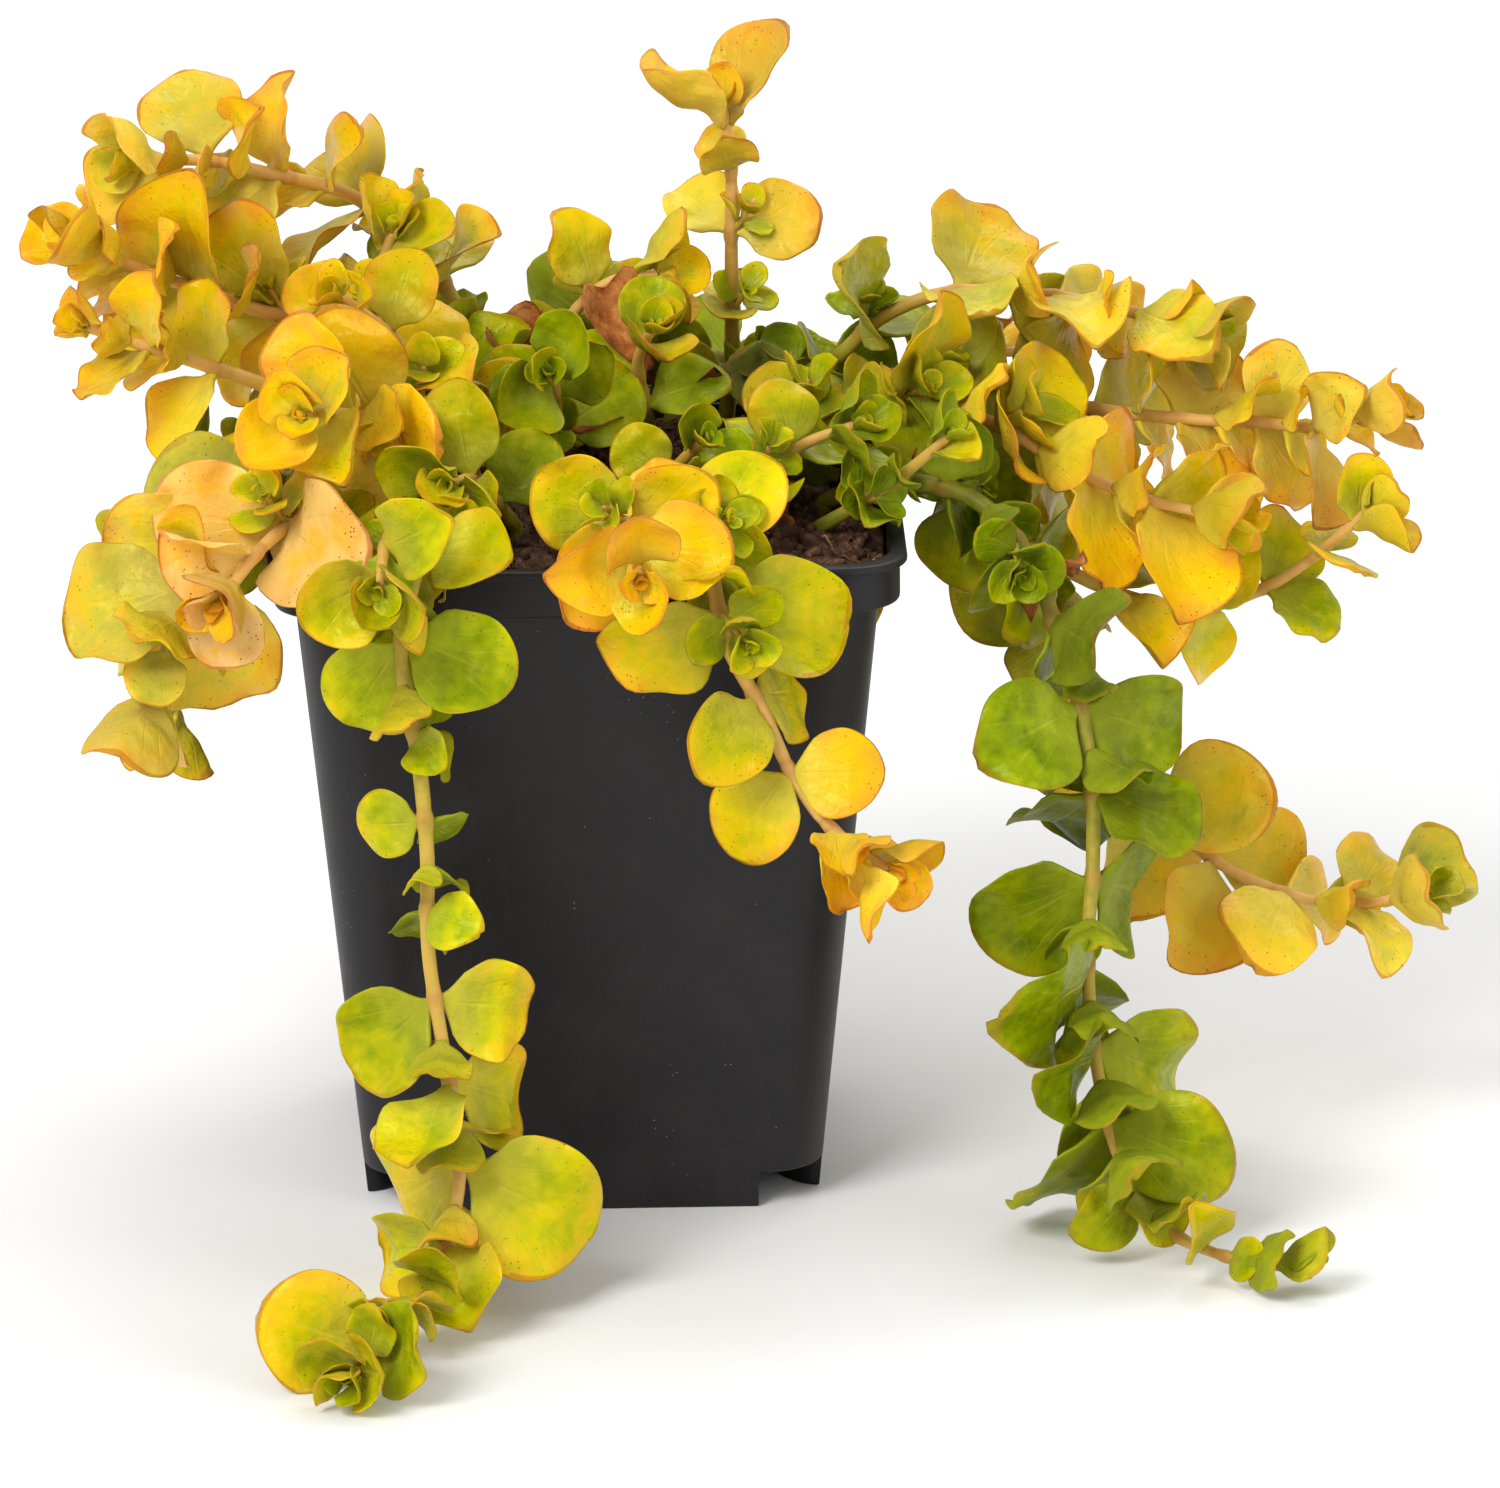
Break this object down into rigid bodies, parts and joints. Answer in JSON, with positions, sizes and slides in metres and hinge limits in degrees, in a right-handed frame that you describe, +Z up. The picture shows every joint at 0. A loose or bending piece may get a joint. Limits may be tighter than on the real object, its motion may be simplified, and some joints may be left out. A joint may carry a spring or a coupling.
{
  "type": "potted goldilocks creeping jenny",
  "caption": "Trailing golden creeping jenny in a square nursery pot: rooted stems with round opposite leaves spill over the rim and lie along the surface.",
  "frame": {"origin": "middle of the pot's underside, on the surface that the pot stands on", "axes": "+Z up, -Y to the front, where the long left stem comes down, +X to the right of the picture"},
  "size_m": [0.2086, 0.2035, 0.1605],
  "materials": {
    "pot": "black injection-moulded polypropylene, satin, lightly dusted",
    "peat": "dark brown fibrous peat with bark chips, moist and matt",
    "foliage": "thin waxy leaves, lime green at the crown to golden orange at the tips, with a fine orange rim, on peach-coloured stems"
  },
  "bodies": {
    "root": {"pot": "pot", "peat": "peat", "stem_front_left_trail": "foliage", "stem_front_left": "foliage", "stem_front_mid": "foliage", "stem_front_mid_trail": "foliage", "stem_right_trail": "foliage", "stem_right_trail_back": "foliage", "stem_right_main": "foliage", "stem_right_row": "foliage", "stem_right_low": "foliage", "stem_right_high": "foliage", "stem_right_orange": "foliage", "stem_right_green": "foliage", "stem_right_olive": "foliage", "stem_mid_small": "foliage", "stem_erect": "foliage", "stem_left_high": "foliage", "stem_left_top": "foliage", "stem_left_small": "foliage", "stem_left_rosette": "foliage", "stem_left_low": "foliage", "stem_left_pale": "foliage", "stem_centre_green": "foliage", "stem_centre_left_up": "foliage", "stem_centre_back": "foliage", "stem_centre_up": "foliage", "stem_centre_left_low": "foliage", "stem_centre_left_mid": "foliage", "stem_back_left_trail": "foliage", "stem_back_mid": "foliage", "stem_back_right_trail": "foliage", "stem_back_left": "foliage", "stem_side_left_trail": "foliage", "stem_back_right": "foliage"}
  },
  "joints": []
}
